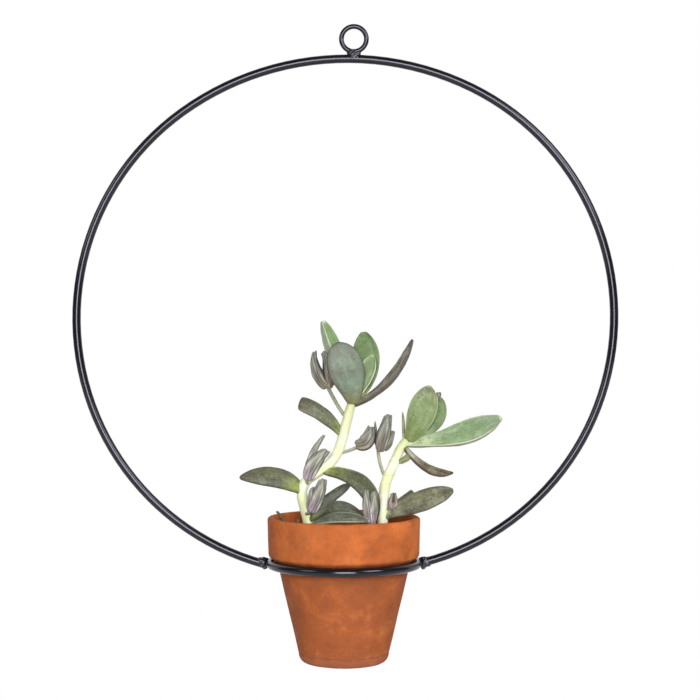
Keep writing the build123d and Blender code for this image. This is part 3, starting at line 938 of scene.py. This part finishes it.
def leaf_finish(name, base, main, tip, blotch, pale, rim, spots, rim_width, mottle, far_side_and_shade=None):
    """Waxy leaf skin, from its base colour to its tip, mottled, with an edge line and spots."""
    skin = Finish(name, 0.48, Specular_IOR_Level=0.4)
    place = skin.place()
    along, sideways = skin.read("along"), skin.read("across")
    across = skin.math("ABSOLUTE", sideways)
    wander = skin.noise(place, 55.0, 3.0)
    shifted = skin.math("ADD", along, skin.spread(wander, 0.3, 0.7, -0.12, 0.12))
    tone = skin.mix(skin.spread(shifted, 0.04, 0.34), base, main)
    tone = skin.mix(skin.spread(shifted, 0.62, 1.0), tone, tip)
    # Clouds, grain and streaks, in the blotch colour and the pale one
    cloud = skin.spread(skin.noise(place, 105.0, 5.0, 0.65), 0.42, 0.66)
    tone = skin.tint(tone, cloud, mottle, blotch)
    light_place = skin.place((1, 1, 1), (0.5, 0.2, 0.1))
    light = skin.spread(skin.noise(light_place, 130.0, 5.0, 0.7), 0.52, 0.70)
    tone = skin.tint(tone, light, mottle * 0.9, pale)
    grain = skin.noise(place, 640.0, 3.0, 0.6)
    tone = skin.tint(tone, skin.spread(grain, 0.56, 0.70), mottle * 0.7, blotch)
    tone = skin.tint(tone, skin.spread(grain, 0.44, 0.32), mottle * 0.6, pale)
    streak_place = skin.combine(
        skin.times(sideways, 1.5), skin.times(along, 1.1), skin.times(skin.split(place, "X"), 30.0),
    )
    streak = skin.noise(streak_place, 2.0, 5.0, 0.62)
    tone = skin.mix(skin.spread(streak, 0.52, 0.68, 0.0, mottle * 0.60), tone, blotch)
    tone = skin.mix(skin.spread(streak, 0.46, 0.32, 0.0, mottle * 0.55), tone, pale)
    # Painted shade: the blotch colour laid more strongly towards both edges, so the leaf darkens where it
    # rounds away
    tone = skin.mix(skin.spread(across, 0.60, 1.0, 0.0, mottle * 0.40), tone, blotch)
    # Spots in some places
    cells = skin.node("TexVoronoi", {"Vector": place, "Scale": 330.0, "Randomness": 1.0})
    chosen = skin.spread(skin.noise(place, 95.0, 1.0), 0.60, 0.64)
    dot = skin.times(skin.spread(cells.outputs["Distance"], 0.12, 0.30, 1.0, 0.0), chosen)
    tone = skin.tint(tone, dot, spots, rgb(84, 68, 56))
    # The edge line, and a darker band along one edge: on the turned leaf its far side with painted shade,
    # on the long leaf a painted shadow along its lower edge
    wavy = skin.math("ADD", across, skin.spread(wander, 0.3, 0.7, -0.03, 0.03))
    line = skin.spread(wavy, 1.0 - 2 * rim_width, 1.0 - rim_width)
    end = skin.spread(along, 0.955, 0.99)
    tone = skin.tint(tone, skin.math("MAXIMUM", line, end), 0.75, rim)
    if far_side_and_shade:
        side, start, far = far_side_and_shade
        out = skin.times(sideways, side)
        tone = skin.mix(skin.spread(out, start - 0.14, start - 0.05, 0.0, 0.9), tone, rim)
        tone = skin.mix(skin.spread(out, start, start + 0.05, 0.0, 0.9), tone, far)
    skin.color(tone)
    skin.rough(skin.spread(wander, 0.3, 0.7, 0.42, 0.56))
    skin.bump(skin.noise(place, 420.0, 4.0, 0.6), 0.30, 0.0004)
    return skin.material


def bud_finish(name, dark, light, low_dark, low_light, hollow_shade=0.0):
    """Withered bud skin: streaked, with another colour at the base, and dark reddish-brown where it
    opens, partly its inner colour and partly painted shade.
    """
    skin = Finish(name, 0.66, Specular_IOR_Level=0.3)
    place = skin.place()
    along, sideways, front = skin.read("along"), skin.read("across"), skin.read("front")
    across = skin.math("ABSOLUTE", sideways)
    streak_place = skin.combine(skin.times(sideways, 2.0), skin.times(along, 1.3), front)
    streak = skin.spread(skin.noise(streak_place, 1.5, 4.0, 0.55), 0.34, 0.66)
    tone = skin.mix(streak, dark, light)
    base = skin.mix(streak, low_dark, low_light)
    wander = skin.spread(skin.noise(place, 150.0), 0.3, 0.7, -0.12, 0.12)
    tone = skin.mix(skin.spread(skin.math("ADD", along, wander), 0.05, 0.50, 1.0, 0.0), tone, base)
    patch = skin.spread(skin.noise(place, 210.0, 5.0, 0.65), 0.52, 0.70)
    tone = skin.tint(tone, patch, 0.45, rgb(116, 108, 88))
    # Darker along the edges of each petal and fold: partly the withered edges' own colour, partly painted
    # shade in the creases where the folds meet
    tone = skin.tint(tone, skin.spread(across, 0.78, 0.96), 0.85, rgb(46, 42, 38))
    # Painted shade in the cavity of an open bud, in a reddish brown that is partly its inner colour
    open_face = skin.times(skin.spread(along, 0.28, 0.42), skin.spread(front, 0.1, 0.4))
    hollow_shade_mask = skin.times(skin.spread(across, 0.55, 0.25, 0.0, 1.0), open_face)
    tone = skin.tint(tone, hollow_shade_mask, hollow_shade, rgb(74, 44, 38))
    skin.color(tone)
    skin.bump(streak, 0.5, 0.0008)
    return skin.material


def stem_finish(name, pale, green, top, roughness=0.42):
    """Fleshy stem skin: pale yellow-green, greener in patches and at the top, with faint rings."""
    skin = Finish(
        name, roughness, Specular_IOR_Level=0.45, Subsurface_Weight=0.12, Subsurface_Scale=0.004,
    )
    place = skin.place()
    cloud = skin.spread(skin.noise(place, 90.0, 4.0), 0.36, 0.68)
    tone = skin.mix(cloud, pale, green)
    rings = skin.spread(skin.noise(skin.place((20.0, 20.0, 260.0)), 1.0, 3.0), 0.56, 0.72)
    tone = skin.tint(tone, rings, 0.30, rgb(176, 186, 112))
    # Greener and darker towards the top: partly the olive green where the leaf bases join, partly painted
    # shade under the crown of leaves
    tone = skin.mix(skin.spread(skin.read("along"), 0.66, 0.98, 0.0, 0.85), tone, top)
    skin.color(tone)
    skin.bump(rings, 0.30, 0.0004)
    return skin.material


def earth():
    """Potting mix: dark, with lighter crumbs."""
    mix = Finish("potting_mix", 0.95, Specular_IOR_Level=0.2)
    place = mix.place()
    crumbs = mix.node("TexVoronoi", {"Vector": place, "Scale": 420.0})
    tone = mix.mix(mix.spread(crumbs.outputs["Distance"], 0.1, 0.7), rgb(92, 70, 52), rgb(44, 33, 26))
    fleck = mix.spread(mix.noise(place, 800.0, 2.0), 0.66, 0.72)
    mix.color(mix.mix(fleck, tone, rgb(150, 128, 100)))
    mix.bump(mix.noise(place, 500.0, 5.0, 0.7), 0.8, 0.001)
    return mix.material


def twig_bark():
    """Dry twig: grey-green and brown."""
    bark = Finish("dry_twig", 0.85, Specular_IOR_Level=0.3)
    place = bark.place((1.0, 1.0, 0.3))
    tone = bark.spread(bark.noise(place, 300.0, 4.0), 0.35, 0.65)
    bark.color(bark.mix(tone, rgb(70, 66, 44), rgb(120, 118, 84)))
    bark.bump(bark.noise(place, 700.0, 3.0), 0.5, 0.0004)
    return bark.material


black_coat = wire_coat("black_coat", 0.15, 0.20, 0.50)
weld_coat = wire_coat("weld_coat", 0.24, 0.32, 0.95)
clay = fired_clay()

# Leaf skins: colours of the base, the middle, the tip, the blotches, the pale flecks and the edge line,
# how strong the spots are, how wide the edge line is, how strong the mottling is, and for a leaf with a
# darker band along one edge the side it lies on, where it starts and its colour: on the turned leaf its
# far side with painted shade, on the long leaf a painted shadow along its lower edge
leaf_skins = {
    "grey_leaf": (
        rgb(134, 134, 84), rgb(112, 130, 112), rgb(122, 116, 116),
        rgb(104, 104, 90), rgb(134, 152, 130), rgb(92, 76, 66), 1.0, 0.06, 1.0,
    ),
    "bright_leaf": (
        rgb(190, 204, 132), rgb(118, 142, 92), rgb(104, 126, 84),
        rgb(84, 112, 64), rgb(146, 168, 122), rgb(126, 132, 96), 0.5, 0.05, 0.9,
    ),
    "inner_leaf": (
        rgb(196, 208, 140), rgb(146, 168, 124), rgb(150, 170, 132),
        rgb(120, 146, 98), rgb(172, 190, 152), rgb(222, 230, 206), 0.3, 0.09, 0.7,
    ),
    "turned_leaf": (
        rgb(178, 196, 118), rgb(126, 158, 96), rgb(138, 158, 122),
        rgb(110, 144, 82), rgb(158, 178, 134), rgb(214, 222, 196), 0.3, 0.05, 0.6,
        # Far side of the turned leaf, with painted shade
        (-1, 0.36, rgb(124, 136, 112)),
    ),
    "long_leaf": (
        rgb(226, 236, 192), rgb(144, 166, 128), rgb(140, 154, 138),
        rgb(114, 140, 92), rgb(176, 192, 158), rgb(212, 220, 190), 0.4, 0.05, 0.95,
        # Painted shadow along the lower edge of the long leaf
        (1, 0.86, rgb(112, 104, 78)),
    ),
    "mottled_leaf": (
        rgb(134, 146, 92), rgb(124, 144, 94), rgb(104, 98, 76),
        rgb(102, 116, 56), rgb(146, 162, 128), rgb(172, 186, 146), 0.9, 0.05, 1.0,
    ),
    "olive_leaf": (
        rgb(158, 172, 88), rgb(106, 110, 82), rgb(92, 86, 72),
        rgb(74, 74, 56), rgb(140, 144, 116), rgb(80, 74, 60), 0.7, 0.05, 0.95,
    ),
    "arched_leaf": (
        rgb(204, 216, 104), rgb(90, 94, 68), rgb(62, 64, 52),
        rgb(70, 72, 54), rgb(132, 138, 112), rgb(72, 68, 56), 0.7, 0.05, 0.95,
    ),
    "low_leaf": (
        rgb(216, 220, 176), rgb(120, 120, 92), rgb(104, 98, 80),
        rgb(82, 80, 62), rgb(156, 156, 132), rgb(92, 84, 68), 0.9, 0.05, 1.0,
    ),
    "stub_leaf": (
        rgb(200, 210, 150), rgb(156, 160, 108), rgb(120, 118, 84),
        rgb(116, 118, 76), rgb(180, 186, 142), rgb(112, 108, 80), 0.4, 0.06, 0.9,
    ),
    "dark_leaf": (
        rgb(172, 184, 118), rgb(92, 97, 80), rgb(76, 78, 66),
        rgb(58, 62, 48), rgb(128, 134, 116), rgb(66, 68, 54), 0.5, 0.04, 0.95,
    ),
    # The pale edge line of the low front leaf is partly its pale margin and partly a painted highlight
    # along its top edge
    "front_leaf": (
        rgb(150, 162, 110), rgb(106, 110, 92), rgb(92, 94, 80),
        rgb(74, 78, 62), rgb(136, 142, 122), rgb(192, 198, 172), 0.5, 0.13, 0.95,
    ),
    "brown_leaf": (
        rgb(176, 178, 140), rgb(128, 125, 108), rgb(110, 101, 94),
        rgb(86, 78, 68), rgb(158, 155, 144), rgb(84, 74, 66), 0.6, 0.10, 1.0,
    ),
    "drooping_leaf": (
        rgb(228, 230, 208), rgb(134, 127, 106), rgb(64, 54, 42),
        rgb(80, 66, 50), rgb(160, 154, 132), rgb(66, 54, 42), 0.3, 0.06, 1.1,
    ),
}
finishes = {name: leaf_finish(name, *looks) for name, looks in leaf_skins.items()}
young = {"grey_leaf", "bright_leaf", "inner_leaf", "turned_leaf", "long_leaf", "mottled_leaf"}

grey_bud = bud_finish(
    "grey_bud", rgb(68, 70, 62), rgb(172, 171, 158), rgb(92, 84, 74), rgb(182, 172, 152),
)
lilac_bud = bud_finish(
    "lilac_bud", rgb(76, 77, 68), rgb(198, 198, 184), rgb(126, 102, 116), rgb(240, 228, 238),
)
hollow_bud = bud_finish(
    "hollow_bud", rgb(120, 112, 96), rgb(206, 200, 180), rgb(150, 124, 132), rgb(226, 210, 216), 0.9,
)
bud_skins = {"upper_bud": grey_bud, "middle_bud": grey_bud, "small_right_bud": hollow_bud}
tall_skin = stem_finish("tall_stem_skin", rgb(252, 253, 230), rgb(236, 245, 184), rgb(186, 196, 134))
stalk_skin = stem_finish(
    "stalk_skin", rgb(176, 178, 150), rgb(126, 130, 106), rgb(120, 124, 100), 0.5,
)
soil_mix = earth()
bark = twig_bark()


def dress(piece, material, slot, *replaced):
    """Give a finished piece its material and the body that its slot belongs to, and hide the solid that
    it stands for.
    """
    if material:
        piece.data.materials.clear()
        piece.data.materials.append(material)
    body = "frame" if slot == "black_coat" else "pot" if slot == "terracotta" else "planting"
    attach(piece, body)
    if replaced:
        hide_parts(*replaced)


# Frame and pot
for name in ("hoop", "hanging_eye", "pot_ring"):
    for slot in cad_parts[name].material_slots:
        slot.material = black_coat
for name, side in (("left_weld", 1), ("right_weld", -1)):
    outer = ring_low.x if side == 1 else ring_high.x
    centre = Vector((outer - side * bead_stand_off, 0, ring_centre.z))
    dress(lay_weld(name + "_bead", centre, side_lump_shares, side), weld_coat, "black_coat", name)
eye_bead = lay_weld("eye_weld_bead", Vector((0, 0, -eye_outer_radius)), eye_lump_shares, 1)
dress(eye_bead, weld_coat, "black_coat", "eye_weld")
dress(throw_pot(), clay, "terracotta", "pot")
dress(heap_soil(), soil_mix, "soil", "soil")
crumbs = scatter_crumbs("soil_crumbs", count=150, low=0.0008, high=0.0019, flat=0.8, seed=7)
dress(crumbs, soil_mix, "soil")
chips = scatter_crumbs("bark_chips", count=34, low=0.0018, high=0.0032, flat=0.35, seed=21)
dress(chips, bark, "soil")

# Plant
for name, shares in (("tall_stem", tall_stem_shares), ("right_stem", right_stem_shares)):
    stem = grow_stem(name + "_flesh", shares, 0.05)
    dress(stem, tall_skin, "stem", name)

for name, (*shape, curl, finish) in leaf_shares.items():
    leaf = grow_blade(name + "_blade", shape, curl)
    leaf.data.materials.append(finishes[finish])
    if name == "right_back_leaf":
        nub = grow_blade("nub", nub_shares)
        nub.data.materials.append(grey_bud)
        leaf = joined([leaf, nub], name + "_blade")
    dress(leaf, None, "young_leaf" if finish in young else "old_leaf", name)

for name, (places, radius, lobes) in bud_shares.items():
    stalk = grow_stalk(places, radius)
    stalk.data.materials.append(stalk_skin)
    petals = []
    for lobe in lobes:
        for shape in (lobe, *folds_of(lobe)):
            petal = grow_blade(name + "_petal", (lobe_shares, *shape), 0.0, 0.0014)
            petal.data.materials.append(bud_skins.get(name, lilac_bud))
            petals.append(petal)
    dress(joined([stalk] + petals, name + "_petals"), None, "bud", name)

bridge = grow_stalk(bridge_stalk_shares, bridge_radius_share)
dress(settle(bridge, "bridge_stalk_flesh"), stalk_skin, "stem", "bridge_stalk")
twigs = joined([grow_stalk(shares[:3], shares[3], lip_radius) for shares in twig_shares], "dry_twigs")
dress(twigs, bark, "dry_twig", "twigs")

# Stage, lights and camera

def stage_paper(name, glow_share):
    """White paper that shows white and keeps shadows."""
    paper = Finish(name, 1.0)
    paper.tree.nodes.clear()
    diffuse = paper.node("BsdfDiffuse", {"Color": (0.9, 0.9, 0.9, 1)})
    glow = paper.node("Emission", {"Strength": 1.0})
    path = paper.node("LightPath").outputs
    either = paper.math("MAXIMUM", path["Is Glossy Ray"], path["Is Transmission Ray"])
    amount = paper.times(paper.math("MAXIMUM", path["Is Camera Ray"], either), glow_share)
    blend = paper.node("MixShader", {0: amount, 1: diffuse.outputs[0], 2: glow.outputs[0]})
    paper.node("OutputMaterial", {"Surface": blend.outputs[0]})
    return paper.material


def add_sheet(name, paper, place, turn):
    """A wide sheet of paper, turned about the x axis."""
    select_only(None)
    bpy.ops.mesh.primitive_plane_add(size=stage_size, location=place, rotation=(turn, 0, 0))
    sheet = settle(bpy.context.object, name)
    sheet.data.materials.append(paper)
    return sheet


stage_size = 8
floor_z = -0.85
backdrop_y = 1.5
floor = add_sheet("stage_floor", stage_paper("floor_paper", 0.9), (0, 0, floor_z), 0)
backdrop = add_sheet("stage_backdrop", stage_paper("white_paper", 1.0), (0, backdrop_y, 0), pi / 2)

scene = bpy.context.scene
scene.view_settings.view_transform = "Standard"
scene.world = bpy.data.worlds.new("studio")
scene.world.use_nodes = True
sky = scene.world.node_tree.nodes["Background"].inputs
sky["Color"].default_value = (1, 1, 1, 1)
sky["Strength"].default_value = 0.20


def set_up(name, data, location, turn):
    """An object for a light or a camera, in its place."""
    thing = bpy.data.objects.new(name, data)
    scene.collection.objects.link(thing)
    thing.location = location
    thing.rotation_euler = turn
    return thing


def add_softbox(name, location, aim, size, power):
    """A square area light that looks at a point."""
    light = bpy.data.lights.new(name, "AREA")
    light.shape = "SQUARE"
    light.size = size
    light.energy = power
    way = Vector(aim) - Vector(location)
    set_up(name, light, location, way.to_track_quat("-Z", "Y").to_euler())


add_softbox("front_light", (0.05, -1.50, 0.02), (0, 0, -0.20), 0.72, 18)
add_softbox("key_light", (0.95, -0.9, 0.55), (0, 0, -0.25), 0.6, 9)
add_softbox("fill_light", (-1.1, -0.7, 0.35), (0, 0, -0.25), 0.5, 3)

lens = bpy.data.cameras.new("photo_camera")
lens.lens = 82.29
lens.sensor_width = 36
lens.clip_end = 20
camera_place = (-0.00273, -1.120, -0.2177)
scene.camera = set_up("photo_camera", lens, camera_place, (radians(90), 0, 0))
